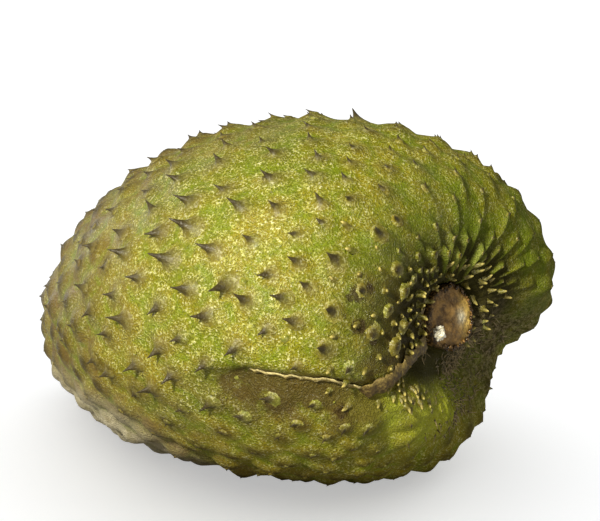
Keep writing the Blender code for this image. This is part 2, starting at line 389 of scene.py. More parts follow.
def spine_places():
    """Angles and sizes of the spines, in the one spiral in which the flower's parts grew."""
    t = np.linspace(0.0, math.pi, 3001)
    x, r = body(t, np.full_like(t, 0.5 * math.pi))[:, 0], body_radius(t)
    ring = 2.0 * math.pi * 0.5 * (r[1:] + r[:-1]) * np.hypot(np.diff(x), np.diff(r))
    ring = ring * (np.maximum(r[1:], 0.0) > PIT_RIM_RADIUS + 0.0010 * (t[1:] < 1.0))
    count = np.concatenate([[0.0], np.cumsum(ring / (0.866 * spacing(t[1:]) ** 2))])
    order = np.arange(int(count[-1])) + 0.5
    rng = np.random.default_rng(SPINE_SEED)
    at = np.interp(order, count, t)
    turn = (order * GOLDEN_ANGLE) % (2.0 * math.pi)
    wander = 0.09 * spacing(at) / MEAN_RADIUS
    at = at + rng.normal(0.0, 1.0, len(at)) * wander
    turn = turn + rng.normal(0.0, 1.0, len(at)) * wander / np.maximum(np.sin(at), 0.1)
    size = rng.uniform(0.60, 1.35, len(at))
    height = skin_point(at, turn)[0][:, 2]
    off_crease = np.abs(gap(turn, crease_angle(at)) * body_radius(at)) > 0.0012 + 0.34 * spacing(at)
    keep = (height > 0.0035) & (off_crease | (at > 1.35)) & (at < math.pi - 0.15) & ~bare(at, turn)
    return at[keep], turn[keep], size[keep]


def crowded_places(t, phi):
    """More spines between these, in a close spiral round the stem, and a tuft of them under the crease."""
    near_t = np.linspace(0.0, 0.9, 1200)
    reach = body_radius(near_t)
    apart = 0.0034 + 0.0034 * fade(reach, 0.017, 0.048)
    ring = 2.0 * math.pi * reach[1:] * np.diff(reach)
    count = np.concatenate([[0.0], np.cumsum(ring / (0.866 * apart[1:] ** 2))])
    count = count - np.interp(0.0119, reach, count)
    order = np.arange(int(np.interp(0.054, reach, count))) + 0.5
    at, turn = np.interp(order, count, near_t), (order * GOLDEN_ANGLE) % (2.0 * math.pi)
    others = skin_point(t, phi)[0]
    places = skin_point(at, turn)[0]
    free = np.array([np.min(np.linalg.norm(others - p, axis=-1)) for p in places])
    clear = np.abs(gap(turn, crease_angle(at)) * body_radius(at)) > 0.0022
    far = body_radius(at)
    ridges = facing(turn, 20.0, 1.0) > 0.35
    near_flank = facing(turn, 268.0, 0.80) > 0.37
    clear = clear & ~(ridges & (far > 0.019)) & (near_flank | (far < 0.038))
    keep = (free > 0.62 * np.interp(at, near_t, apart)) & clear & ~bare(at, turn)
    row, column = np.divmod(np.arange(TUFT_COUNT), 5)
    tuft_t = 0.405 + 0.045 * row + 0.008 * (column % 2)
    tuft_phi = np.radians(218.0 + 3.6 * column + 2.0 * (row % 2))
    return np.concatenate([at[keep], tuft_t]), np.concatenate([turn[keep], tuft_phi])


def rib_share(t, phi):
    """How far the mound of a spine is drawn out to a rib: fully over the stem, less beside the lobe."""
    reach = body_radius(t)
    upper = fade(reach, 0.018, 0.026) * (1.0 - fade(reach, 0.040, 0.056))
    lower = fade(reach, 0.025, 0.029) * (1.0 - fade(reach, 0.040, 0.048))
    upper = upper * facing(phi, 8.0, 1.0)
    lower = lower * facing(phi, 165.0, 0.60)
    return np.maximum(upper, 0.8 * lower) * (t < 1.2)


def vigour(t, phi):
    """Full hooks on the near flank, low stumps on the back and far shoulder, at the tip and underneath."""
    height = skin_point(t, phi)[0][..., 2]
    tip_end = 1.0 - 0.85 * fade(t, 1.42, 2.00)
    under = 0.25 + 0.75 * fade(height, 0.016, 0.052)
    shoulder = 1.0 - 0.70 * facing(phi, 75.0, 0.9) * (1.0 - fade(t, 0.9, 1.5))
    return tip_end * under * shoulder * (0.20 + 0.80 * facing(phi, 278.0, 0.92))


spine_t, spine_phi, spine_size = spine_places()
crowd_t, crowd_phi = crowded_places(spine_t, spine_phi)
crowd_size = np.random.default_rng(CROWD_SEED).uniform(0.55, 1.15, len(crowd_t))
spine_gap = np.concatenate([spacing(spine_t), np.full(len(crowd_t), CROWD_SPACING)])
spine_t = np.concatenate([spine_t, crowd_t])
spine_phi = np.concatenate([spine_phi, crowd_phi])
spine_size = np.concatenate([spine_size, crowd_size])
spine_rib = rib_share(spine_t, spine_phi)
spine_stem = (1.0 - fade(spine_gap, 0.0050, 0.0115)) * (1.0 - spine_rib)
spine_wart = fade(spine_t, 1.35, 1.90) * (1.0 - fade(spine_t, 2.50, 2.80))
spine_vigour = vigour(spine_t, spine_phi)
lone_spike = np.argmin(np.hypot(spine_t - 1.198, gap(spine_phi, math.radians(358.7))))
spine_vigour[lone_spike] = 1.3


def mounds(t, phi):
    """Rise of the rind under each spine and the nearness of a spine.

    Each spine is partly a flank spine (f), a stem finger (k) and the end of a rib (s).
    """
    rise = np.zeros_like(t)
    near = np.zeros_like(t)
    along, round_axis, _ = slopes(spine_t, spine_phi)
    per_t = np.linalg.norm(along, axis=-1)
    per_phi = np.linalg.norm(round_axis, axis=-1)
    for i in range(len(spine_t)):
        k, s = spine_stem[i], spine_rib[i]
        f = 1.0 - k - s
        wide = 0.0040 * f ** 2 + 0.0010 * (f + k) + 0.0013 * s
        tail = 0.0046 * f + 0.0034 * k + 0.0130 * s
        low = 1.0 - min(spine_vigour[i], 1.0)
        wart = 0.0013 * low + 0.0002 * spine_wart[i]
        tall = ((0.0010 + wart) * f + 0.0010 * k + (0.0044 - 0.0026 * low) * s) * spine_size[i]
        rows = np.abs(t[:, 0] - spine_t[i]) < 4.0 * tail / per_t[i]
        m = (t[rows] - spine_t[i]) * per_t[i]
        c = gap(phi[rows], spine_phi[i]) * per_phi[i]
        across = f * bump(c, wide) + (1.0 - f) * np.exp(0.35 - np.sqrt((c / wide) ** 2 + 0.1225))
        ramp = np.clip(1.0 + m / (1.5 * tail), 0.0, 1.0) ** 1.3
        inner = f * bump(m, tail) + (1.0 - f) * ramp
        outer = f * bump(m, wide) + k * bump(m, 0.9 * wide) + s * bump(m, 1.9 * wide)
        rise[rows] = np.maximum(rise[rows], tall * across * np.where(m < 0.0, inner, outer))
        halo = np.exp(-(m * m + c * c) / ((0.0034 + 0.0012 * low) * f + 0.0014 * (1.0 - f)) ** 2)
        near[rows] = np.maximum(near[rows], halo)
    return rise, near


def skin_rows():
    """Angles of the rows of the skin, closest together in the ribbed stem end."""
    t = np.linspace(0.0, math.pi, 4001)
    x, r = body(t, np.full_like(t, 0.5 * math.pi))[:, 0], body_radius(t)
    step = np.hypot(np.diff(x), np.diff(r))
    fine = SKIN_STEP_FINE + (SKIN_STEP_WIDE - SKIN_STEP_FINE) * fade(t[1:], 0.65, 1.15)
    count = np.concatenate([[0.0], np.cumsum(step / fine)])
    return np.interp(np.arange(1, int(count[-1])), count, t)


def seams(points):
    """How close each point is to the border between the fields of two neighbouring spines."""
    centres = skin_point(spine_t, spine_phi)[0]
    tree = KDTree(len(centres))
    for i, place in enumerate(centres):
        tree.insert(place, i)
    tree.balance()
    border = np.empty(len(points))
    for i, place in enumerate(points):
        (_, _, first), (_, _, second) = tree.find_n(place, 2)
        border[i] = (second - first) / (second + first)
    return 1.0 - fade(border, 0.0, 0.28)


def aged_at(t, places):
    """Age of the rind at these angles and places: old at the tip and underneath."""
    return np.clip(fade(t, 1.00, 2.05) + 0.40 * (1.0 - fade(places[:, 2], 0.004, 0.045)), 0.0, 1.0)


def add_field(mesh, name, values):
    """One number or direction for each point of the mesh, for its material or its tree to read."""
    values = np.asarray(values, dtype=np.float32)
    kind, slot = ("FLOAT", "value") if values.ndim == 1 else ("FLOAT_VECTOR", "vector")
    mesh.attributes.new(name, kind, "POINT").data.foreach_set(slot, values.ravel())


def add_mask(mesh, name, values, at_start=0.0, at_end=0.0):
    """A field over rings of points, with its values at the two points that close the ends."""
    add_field(mesh, name, np.concatenate([values, [at_start, at_end]]))


def swell(place):
    """Uneven rise and fall of the rind at a place, in metres."""
    place = Vector(place)
    return 0.00055 * mathutils.noise.noise(place * 85.0) + 0.00022 * mathutils.noise.noise(place * 240.0)


def ring_faces(rows, columns):
    """Four-sided faces between each closed ring of points and the next."""
    here = np.arange(columns)
    after = (here + 1) % columns
    faces = []
    for low in range(0, (rows - 1) * columns, columns):
        high = low + columns
        faces += np.stack([low + here, low + after, high + after, high + here], axis=-1).tolist()
    return faces


def end_fan(first, columns, centre):
    """Triangles that close the ring that starts at this point with one point in its centre."""
    return [(centre, first + j, first + (j + 1) % columns) for j in range(columns)]


def closed_mesh(name, points, faces):
    """A smooth closed mesh with all its faces turned outwards."""
    mesh = bpy.data.meshes.new(name)
    mesh.from_pydata(np.asarray(points).tolist(), [], faces)
    bm = bmesh.new()
    bm.from_mesh(mesh)
    bmesh.ops.recalc_face_normals(bm, faces=bm.faces)
    if bm.calc_volume(signed=True) < 0.0:
        bmesh.ops.reverse_faces(bm, faces=bm.faces)
    bm.to_mesh(mesh)
    bm.free()
    mesh.shade_smooth()
    return mesh


def add_stem_masks(mesh, t, phi, rise, places):
    """Masks round the stem: young green partly darkened as painted shade, painted shade in the hollow, tan
    ground, fibres, ribs with ridge tops partly lit by painted light, and the sunlit lobe.
    """
    r = body_radius(t)
    stem_side = t < 1.2
    left = facing(phi, 262.0, 0.9)
    under = facing(phi, 192.0, 0.7)
    # Greener and darker near the stem and on its far shoulder: the rind's young green, partly painted shade.
    fresh = (1.0 - fade(r, 0.034, 0.066)) * (1.0 - fade(t, 0.7, 1.2))
    fresh = fresh * (1.0 - 0.95 * facing(phi, 200.0, 1.0))
    add_mask(mesh, "fresh", fresh, 1.0)
    add_mask(mesh, "seam", np.maximum(seams(places), 0.8 * fresh))
    # Painted shade: the hollow mask darkens the ground between the ribs and fingers round the stem, over its
    # own dark brown.
    hollow = 1.0 - fade(r, 0.022 - 0.004 * under + 0.002 * left, 0.036 - 0.012 * under + 0.018 * left)
    add_mask(mesh, "hollow", hollow * stem_side, 1.0)
    add_mask(mesh, "tanned", left * (1.0 - fade(r, 0.030, 0.060)) * stem_side)
    fibrous = facing(phi, 116.0, 0.56) * (1.0 - fade(r, 0.044, 0.060))
    add_mask(mesh, "fibrous", fibrous * stem_side)
    add_mask(mesh, "sunlit", facing(phi, 203.0, 0.60) * bump(t - 0.46, 0.24))
    ribbed = rise / 0.0020 * (1.0 - fade(t, 0.45, 1.0))
    add_mask(mesh, "ribbed", ribbed)
    # Pale ridge tops of the ribs: partly their own colour, partly a painted highlight.
    drawn_out = facing(phi, 8.0, 1.0) + facing(phi, 160.0, 0.5)
    add_mask(mesh, "crest", ribbed * drawn_out)


def add_flank_masks(mesh, t, phi, near, places):
    """Masks of the flanks: nearness of a spine, age, the soiled crease, scuffs made paler by painted light,
    far side and stains.
    """
    height = places[:, 2]
    add_mask(mesh, "near_spine", near)
    add_mask(mesh, "age", aged_at(t, places), 0.0, 1.0)
    d = gap(phi, crease_angle(t)) * body_radius(t)
    above = 0.0030 + 0.0065 * (1.0 - fade(t, 0.55, 0.80))
    below = 0.0045 + 0.0145 * fade(t, 0.50, 0.72)
    soiled = np.where(d < 0.0, bump(d, below), bump(d, above))
    add_mask(mesh, "crease", soiled * fade(t, 0.10, 0.30) * fade(-t, -1.45, -1.05))
    # Pale grey scuffs at the tip end and underneath: worn skin, made paler as painted light from below.
    chafed = fade(t, 1.55, 2.05) * (1.0 - fade(t, 2.75, 2.95)) * (1.0 - fade(height, 0.016, 0.040))
    add_mask(mesh, "chafed", chafed)
    add_mask(mesh, "far_side", 1.0 - facing(phi, 285.0, 1.1), 0.0, 1.0)
    blemish = np.zeros(len(places))
    for at, turn, wide in BLEMISHES:
        spot = skin_point(np.array(at), np.radians(turn))[0]
        blemish = np.maximum(blemish, bump(np.linalg.norm(places - spot, axis=-1), wide))
    add_mask(mesh, "blemish", blemish)


def make_skin():
    """The rind as one closed sheet of rows and columns, with a point at the pit and at the tip."""
    rows = skin_rows()
    columns = np.arange(SKIN_COLUMNS) * 2.0 * math.pi / SKIN_COLUMNS
    t, phi = np.meshgrid(rows, columns, indexing="ij")
    rise, near = mounds(t, phi)
    lumps = [swell(place) for place in skin_point(t, phi)[0].reshape(-1, 3)]
    sheet = skin_point(t, phi, rise + np.reshape(lumps, t.shape))[0].reshape(-1, 3)
    ends = skin_point(np.array([0.0, math.pi]), np.array([0.0, 0.0]), 0.0)[0]
    last_row = (len(rows) - 1) * SKIN_COLUMNS
    faces = ring_faces(len(rows), SKIN_COLUMNS) + end_fan(0, SKIN_COLUMNS, len(sheet))
    faces += end_fan(last_row, SKIN_COLUMNS, len(sheet) + 1)
    mesh = closed_mesh("skin", np.concatenate([sheet, ends]), faces)
    add_stem_masks(mesh, t.ravel(), phi.ravel(), rise.ravel(), sheet)
    add_flank_masks(mesh, t.ravel(), phi.ravel(), near.ravel(), sheet)
    return add_object("skin", mesh)


def linear(hex_colour):
    """A screen colour as the light values that a shader takes."""
    parts = [int(hex_colour[i:i + 2], 16) / 255.0 for i in (1, 3, 5)]
    return tuple(((p + 0.055) / 1.055) ** 2.4 if p > 0.04045 else p / 12.92 for p in parts) + (1.0,)


def new_group(name, inputs, outputs):
    """An empty shader group with named number or colour sockets."""
    group = bpy.data.node_groups.new(name, "ShaderNodeTree")
    for label, kind, value in inputs:
        socket = group.interface.new_socket(name=label, in_out="INPUT", socket_type=kind)
        socket.default_value = value
    for label, kind in outputs:
        group.interface.new_socket(name=label, in_out="OUTPUT", socket_type=kind)
    return group


def noise(tree, place, scale, detail=3.0, rough=0.5):
    """A cloudy pattern with features about 1 / scale metres across."""
    values = {"Vector": place, "Scale": scale, "Detail": detail, "Roughness": rough}
    return add_node(tree, "ShaderNodeTexNoise", values).outputs["Fac"]


def between(tree, value, low, high):
    """Bring a number from low..high to 0..1, cut off smoothly at both ends."""
    values = {"Value": value, "From Min": low, "From Max": high}
    return add_node(tree, "ShaderNodeMapRange", values, interpolation_type="SMOOTHSTEP").outputs["Result"]


def maths(tree, kind, *terms):
    """One sum with numbers, each a socket or a plain value."""
    return add_node(tree, "ShaderNodeMath", dict(enumerate(terms)), operation=kind).outputs["Value"]


def times(tree, a, b):
    """The product of two numbers."""
    return maths(tree, "MULTIPLY", a, b)


def scaled(tree, value, share, base):
    """A share of a number on top of a base."""
    return maths(tree, "MULTIPLY_ADD", value, share, base)


def blend(tree, factor, a, b):
    """Mix colour a towards colour b; each is a socket or a screen colour."""
    a, b = (linear(colour) if isinstance(colour, str) else colour for colour in (a, b))
    values = {MIX_FACTOR: factor, MIX_COLOURS[0]: a, MIX_COLOURS[1]: b}
    return add_node(tree, "ShaderNodeMix", values, data_type="RGBA").outputs[MIX_COLOUR_OUT]


def tint(tree, base, mask, share, colour):
    """Lay a colour over the base where the mask is, at most by the share."""
    return blend(tree, times(tree, mask, share), base, colour)


def own_place(tree):
    """The place of a point in the piece's own axes, in metres."""
    return add_node(tree, "ShaderNodeTexCoord").outputs["Object"]


def make_rind_group():
    """Colour, gloss and fine relief of the rind: cream grain on green with painted glints, browner with age
    and near spines.
    """
    number, colour = "NodeSocketFloat", "NodeSocketColor"
    group = new_group(
        "rind",
        [("Age", number, 0.0), ("Seam", number, 0.0), ("Near Spine", number, 0.0)],
        [("Colour", colour), ("Roughness", number), ("Height", number)],
    )
    given = group.nodes.new("NodeGroupInput").outputs
    result = group.nodes.new("NodeGroupOutput")
    place = own_place(group)
    broad = noise(group, place, 34.0, 2.0)
    stains = noise(group, place, 75.0, 5.0, 0.65)
    patchy = noise(group, place, 130.0, 4.0, 0.6)
    cells = noise(group, place, 620.0, 3.0, 0.6)
    swirl = noise(group, place, 1050.0, 1.0, 0.5)
    grain = noise(group, place, 1500.0, 2.0, 0.6)
    squiggle = between(group, maths(group, "ABSOLUTE", maths(group, "SUBTRACT", swirl, 0.5)), 0.11, 0.02)
    ripe = scaled(group, broad, 0.6, times(group, patchy, 0.4))
    base = blend(group, between(group, ripe, 0.42, 0.58), "#767F0C", "#968816")
    vein = times(group, given["Seam"], between(group, patchy, 0.62, 0.40))
    base = tint(group, base, vein, 0.80, "#7C8B16")
    cover = scaled(group, vein, -0.7, between(group, cells, 0.33, 0.58))
    light = times(group, squiggle, maths(group, "MAXIMUM", cover, 0.08))
    base = tint(group, base, light, 0.85, "#CFCB62")
    # Painted highlight: the brightest cream grain is lifted to near white as painted glints.
    base = tint(group, base, times(group, light, between(group, grain, 0.50, 0.66)), 0.75, "#FBF7CF")
    base = tint(group, base, between(group, grain, 0.50, 0.32), 0.70, "#55590C")
    worn = times(group, given["Age"], scaled(group, between(group, stains, 0.40, 0.66), 0.75, 0.42))
    base = blend(group, times(group, worn, scaled(group, vein, -0.75, 1.0)), base, "#76602A")
    halo = times(group, given["Near Spine"], between(group, patchy, 0.15, 0.60))
    base = tint(group, base, halo, 0.75, "#64541E")
    heart = between(group, given["Near Spine"], 0.50, 0.95)
    base = tint(group, base, heart, scaled(group, given["Age"], 0.50, 0.38), "#453A14")
    height = scaled(group, squiggle, 0.35, times(group, grain, 0.65))
    feed(group, result, {"Colour": base, "Roughness": scaled(group, cells, 0.45, 0.22), "Height": height})
    return group


rind = make_rind_group()


def new_material(name):
    """A material with its tree and its one Principled shader."""
    material = bpy.data.materials.new(name)
    material.use_nodes = True
    return material, material.node_tree, material.node_tree.nodes["Principled BSDF"]


def field(tree, name):
    """A number that the mesh carries for its material."""
    return add_node(tree, "ShaderNodeAttribute", attribute_name=name).outputs["Fac"]


def place_rind(tree, values):
    """The outputs of the rind group, filled with these values."""
    return add_node(tree, "ShaderNodeGroup", values, node_tree=rind).outputs


def raise_surface(tree, shader, height, depth, strength=1.0):
    """Fine relief: the height feeds a Bump node of the given depth in metres."""
    values = {"Distance": depth, "Strength": strength, "Height": height}
    raised = add_node(tree, "ShaderNodeBump", values).outputs["Normal"]
    feed(tree, shader, {"Normal": raised, "Coat Normal": raised})


def make_skin_material():
    """The rind, with the brown crease, painted shade in the ribbed hollow round the stem, and painted light
    on the ridge tops, the lobe and the pale scuffs.
    """
    material, tree, shader = new_material("rind")
    coat = place_rind(tree, {
        "Age": field(tree, "age"), "Seam": field(tree, "seam"), "Near Spine": field(tree, "near_spine")})
    place = own_place(tree)
    dirt = between(tree, noise(tree, place, 160.0, 5.0, 0.65), 0.30, 0.62)
    # The young green near the stem, partly painted shade.
    shade = tint(tree, coat["Colour"], field(tree, "fresh"), 0.55, "#47570F")
    soil = times(tree, field(tree, "crease"), maths(tree, "ADD", dirt, 0.50))
    shade = blend(tree, maths(tree, "MINIMUM", soil, 0.88), shade, "#4C3A1B")
    for name, share, least, colour in (
        ("sunlit", -0.35, 0.85, "#C3C93C"),
        # Pale scuffs, partly painted light from below.
        ("chafed", 0.55, 0.40, "#CFC4A6"),
        ("tanned", 0.55, 0.22, "#5C481A"),
    ):
        shade = tint(tree, shade, field(tree, name), scaled(tree, dirt, share, least), colour)
    # Painted shade in the ribbed hollow round the stem, over its own dark brown ground.
    dark_ground_and_shade = times(tree, field(tree, "hollow"), between(tree, field(tree, "ribbed"), 0.80, 0.25))
    shade = blend(tree, maths(tree, "MINIMUM", dark_ground_and_shade, 0.92), shade, "#2E2812")
    # Pale ridge tops of the ribs, partly a painted highlight.
    shade = tint(tree, shade, between(tree, field(tree, "crest"), 0.35, 1.0), 0.45, "#A3AA52")
    strands = between(tree, noise(tree, place, 700.0, 3.0, 0.7), 0.42, 0.60)
    fibres = blend(tree, strands, "#3E3320", "#85775A")
    shade = tint(tree, shade, field(tree, "fibrous"), scaled(tree, dirt, 0.50, 0.45), fibres)
    ragged = maths(tree, "ADD", noise(tree, place, 480.0, 3.0, 0.7), 0.20)
    spot = between(tree, times(tree, field(tree, "blemish"), ragged), 0.30, 0.56)
    shade = tint(tree, shade, spot, 0.80, "#34230F")
    matte = maths(tree, "MAXIMUM", coat["Roughness"], times(tree, field(tree, "far_side"), 0.85))
    wet = scaled(tree, between(tree, noise(tree, place, 55.0, 3.0, 0.6), 0.42, 0.60), 0.50, 0.22)
    dry = maths(tree, "MAXIMUM", field(tree, "hollow"), field(tree, "fibrous"))
    dry = maths(tree, "MAXIMUM", dry, field(tree, "far_side"))
    wet = times(tree, wet, maths(tree, "SUBTRACT", 1.0, dry))
    feed(tree, shader, {
        "Base Color": shade, "Roughness": matte, "Specular IOR Level": 0.07, "Coat Weight": wet,
        "Coat Roughness": 0.20})
    raise_surface(tree, shader, coat["Height"], 0.00065)
    return material


skin = make_skin()
skin.data.materials.append(make_skin_material())
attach(skin, "root")
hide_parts("fruit")


# ---------------------------------------------------------------------------
# Spines. Each field of the rind ends in one soft spine, which grows out of its
# mound: a fleshy cone that dries to a thin dark hook bent away from the stem, or
# near the stem a short blunt finger. Under the stem they are dried to fibres.
# ---------------------------------------------------------------------------

HOOK_BASE = 0.0037
HOOK_HEIGHT = 0.0039
HOOK_BEND = 0.0042
FINGER_BASE = 0.0010
FINGER_HEIGHT = 0.0028
FINGER_BEND = 0.0010
HAIR_COUNT = 560
NEAR_HAIR_COUNT = 70
TABLE_CLEARANCE = 0.0001
MIX_VECTORS = (4, 5)
MIX_VECTOR_OUT = 1


def open_tree(name, numbers, seed, others, output):
    """A geometry tree with points, numbers, a seed and other things as named inputs, and one output."""
    tree = bpy.data.node_groups.new(name, "GeometryNodeTree")
    new_socket = tree.interface.new_socket
    new_socket(name="Places", in_out="INPUT", socket_type="NodeSocketGeometry")
    for label, value in numbers:
        new_socket(name=label, in_out="INPUT", socket_type="NodeSocketFloat").default_value = value
    new_socket(name="Seed", in_out="INPUT", socket_type="NodeSocketInt").default_value = seed
    for label, kind in others:
        new_socket(name=label, in_out="INPUT", socket_type=kind)
    new_socket(name=output, in_out="OUTPUT", socket_type="NodeSocketGeometry")
    return tree, tree.nodes.new("NodeGroupInput").outputs, tree.nodes.new("NodeGroupOutput")


def close_tree(tree, geometry, material, output):
    """End the tree: smooth faces, each with the given material."""
    smooth = add_node(tree, "GeometryNodeSetShadeSmooth", {"Geometry": geometry})
    finish = add_node(tree, "GeometryNodeSetMaterial", {"Geometry": smooth.outputs[0], "Material": material})
    feed(tree, output, {0: finish.outputs[0]})


def make_spine_tree():
    """Stand one bent, tapering spine on every point and make them all one mesh."""
    tree, given, output = open_tree(
        "spine_field",
        [("Base Radius", HOOK_BASE), ("Height", HOOK_HEIGHT), ("Bend", HOOK_BEND), ("Tip Share", 0.04),
         ("Taper", 1.2), ("Flare", 2.7), ("Unevenness", 0.25)],
        4,
        [("Ground", "NodeSocketObject"), ("Rind", "NodeSocketMaterial")],
        "Spines",
    )

    def carried(name, kind):
        node = add_node(tree, "GeometryNodeInputNamedAttribute", {"Name": name}, data_type=kind)
        return node.outputs["Attribute"]

    # a plain column, narrowed, bent and marked with its height
    sizes = {"Vertices": 8, "Side Segments": 6, "Radius Top": 1.0, "Radius Bottom": 1.0, "Depth": 1.0}
    column = add_node(tree, "GeometryNodeMeshCone", sizes, fill_type="TRIANGLE_FAN")
    place = add_node(tree, "GeometryNodeInputPosition").outputs[0]
    x, y, up = add_node(tree, "ShaderNodeSeparateXYZ", {0: place}).outputs
    left = maths(tree, "SUBTRACT", 1.0, up)
    thin = maths(tree, "ADD", maths(tree, "POWER", left, given["Taper"]), given["Tip Share"])
    wide = times(tree, thin, given["Base Radius"])
    lean = times(tree, maths(tree, "POWER", up, 2.1), given["Bend"])
    high = times(tree, maths(tree, "POWER", up, given["Flare"]), given["Height"])
    bent = add_node(tree, "ShaderNodeCombineXYZ", {
        "X": scaled(tree, x, wide, lean), "Y": times(tree, y, wide), "Z": high})
    corner = maths(tree, "GREATER_THAN", add_node(tree, "GeometryNodeInputMeshEdgeAngle").outputs[0], 1.2)
    rim = times(tree, corner, maths(tree, "LESS_THAN", up, 0.5))
    creased = add_node(tree, "GeometryNodeSetShadeSmooth", {
        "Geometry": column.outputs["Mesh"], "Selection": rim, "Shade Smooth": False}, domain="EDGE")
    marked = add_node(tree, "GeometryNodeStoreNamedAttribute", {
        "Geometry": creased.outputs[0], "Name": "tip", "Value": up}, data_type="FLOAT", domain="POINT")
    shaped = add_node(tree, "GeometryNodeSetPosition", {
        "Geometry": marked.outputs[0], "Position": bent.outputs[0]})

    # each one upright on its point, bent away from the stem and a little askew
    stand = add_node(tree, "FunctionNodeAlignRotationToVector", {
        "Vector": carried("upright", "FLOAT_VECTOR")}, axis="Z")
    aimed = add_node(tree, "FunctionNodeAlignRotationToVector", {
        "Rotation": stand.outputs[0], "Vector": carried("away", "FLOAT_VECTOR")}, axis="X", pivot_axis="Z")
    tilt = add_node(tree, "FunctionNodeRandomValue", {"Seed": given["Seed"]}, data_type="FLOAT_VECTOR")
    for label, sign in (("Min", -1.0), ("Max", 1.0)):
        limit = add_node(tree, "ShaderNodeVectorMath", {
            0: (1.0, 1.0, 3.0), "Scale": times(tree, given["Unevenness"], sign)}, operation="SCALE")
        feed(tree, tilt, {label: limit.outputs[0]})
    askew = add_node(tree, "FunctionNodeEulerToRotation", {0: tilt.outputs["Value"]})
    turn = add_node(tree, "FunctionNodeRotateRotation", {
        "Rotation": aimed.outputs[0], "Rotate By": askew.outputs[0]}, rotation_space="LOCAL")
    size = carried("size", "FLOAT")
    girth = maths(tree, "POWER", size, 0.6)
    stretch = add_node(tree, "ShaderNodeCombineXYZ", {"X": girth, "Y": girth, "Z": size})
    planted = add_node(tree, "GeometryNodeInstanceOnPoints", {
        "Points": given["Places"], "Instance": shaped.outputs[0], "Rotation": turn.outputs[0],
        "Scale": stretch.outputs[0]})
    real = add_node(tree, "GeometryNodeRealizeInstances", {0: planted.outputs[0]})

    # the foot of each one drawn onto the rind
    ground = add_node(tree, "GeometryNodeObjectInfo", {"Object": given["Ground"]})
    nearest = add_node(tree, "GeometryNodeProximity", {0: ground.outputs["Geometry"]}, target_element="FACES")
    hold = maths(tree, "POWER", maths(tree, "SUBTRACT", 1.0, carried("tip", "FLOAT")), 2.5)
    ends = {MIX_FACTOR: hold, MIX_VECTORS[0]: place, MIX_VECTORS[1]: nearest.outputs["Position"]}
    settle = add_node(tree, "ShaderNodeMix", ends, data_type="VECTOR")
    seated = add_node(tree, "GeometryNodeSetPosition", {
        "Geometry": real.outputs[0], "Position": settle.outputs[MIX_VECTOR_OUT]})
    close_tree(tree, seated.outputs[0], given["Rind"], output)
    return tree


def loose_points(name, places):
    """An object of points alone, for a tree to set its shapes on."""
    mesh = bpy.data.meshes.new(name)
    mesh.from_pydata(places.tolist(), [], [])
    return add_object(name, mesh)


def planting_points(name, t, phi, sink, size, age, outward):
    """Points just under the rind, each with the direction, size and age of its spine."""
    rise = mounds(t[:, None], phi[:, None])[0][:, 0]
    places, upright = skin_point(t, phi, rise - sink)
    away = turned(slopes(t, phi)[0])
    away = away / np.linalg.norm(away, axis=-1, keepdims=True)
    upright = upright + outward * away
    points = loose_points(name, places)
    add_field(points.data, "upright", upright / np.linalg.norm(upright, axis=-1, keepdims=True))
    add_field(points.data, "away", away)
    add_field(points.data, "size", size)
    add_field(points.data, "age", age)
    return points


def grow(obj, tree, inputs):
    """Grow the tree's shapes on the points and keep only the finished mesh, clear of the table."""
    growth = obj.modifiers.new("growth", "NODES")
    growth.node_group = tree
    for item in tree.interface.items_tree:
        if item.in_out == "INPUT" and item.name in inputs:
            growth[item.identifier] = inputs[item.name]
    graph = bpy.context.evaluated_depsgraph_get()
    finished = bpy.data.meshes.new_from_object(obj.evaluated_get(graph), depsgraph=graph)
    obj.modifiers.clear()
    obj.data = finished
    places = np.empty(len(finished.vertices) * 3)
    finished.vertices.foreach_get("co", places)
    places[2::3] = np.maximum(places[2::3], TABLE_CLEARANCE)
    finished.vertices.foreach_set("co", places)
    return obj


def make_spine_material(name, tip_colour, tip_start, ruddy):
    """The rind's flesh at the foot, turning to dry brown hook or to pale blunt finger, whose pale tip is
    partly a painted highlight.
    """
    material, tree, shader = new_material(name)
    coat = place_rind(tree, {
        "Age": field(tree, "age"), "Near Spine": scaled(tree, field(tree, "tip"), 1.0 - ruddy, ruddy)})
    cloud = maths(tree, "SUBTRACT", noise(tree, own_place(tree), 700.0, 2.0), 0.5)
    up = scaled(tree, cloud, 0.5, field(tree, "tip"))
    shade = blend(tree, between(tree, up, tip_start, tip_start + 0.45), coat["Colour"], tip_colour)
    feed(tree, shader, {"Base Color": shade, "Roughness": coat["Roughness"]})
    raise_surface(tree, shader, coat["Height"], 0.0003, 0.8)
    return material


spine_tree = make_spine_tree()
spine_age = aged_at(spine_t, skin_point(spine_t, spine_phi)[0])
is_hook = (spine_gap > 0.0068) | (spine_rib > 0.30)
hook_size = (spine_size * spine_vigour * (spine_gap / FLANK_SPACING) ** 1.3)[is_hook]
hooks = planting_points(
    "hooked_spines", spine_t[is_hook], spine_phi[is_hook], 0.0, hook_size, spine_age[is_hook], 0.0)
hooks = grow(hooks, spine_tree, {"Ground": skin, "Rind": make_spine_material("hook", "#3D3212", 0.38, 0.58)})
fingers = planting_points(
    "blunt_spines", spine_t[~is_hook], spine_phi[~is_hook], 0.0009, spine_size[~is_hook],
    np.zeros(np.sum(~is_hook)), 0.45)
# The fingers' pale tips: partly their own colour, partly a painted highlight.
fingers = grow(fingers, spine_tree, {
    "Ground": skin, "Rind": make_spine_material("finger", "#CBB862", 0.60, 0.75), "Base Radius": FINGER_BASE,
    "Height": FINGER_HEIGHT, "Bend": FINGER_BEND, "Tip Share": 0.20, "Taper": 0.8, "Flare": 1.0, "Seed": 9})

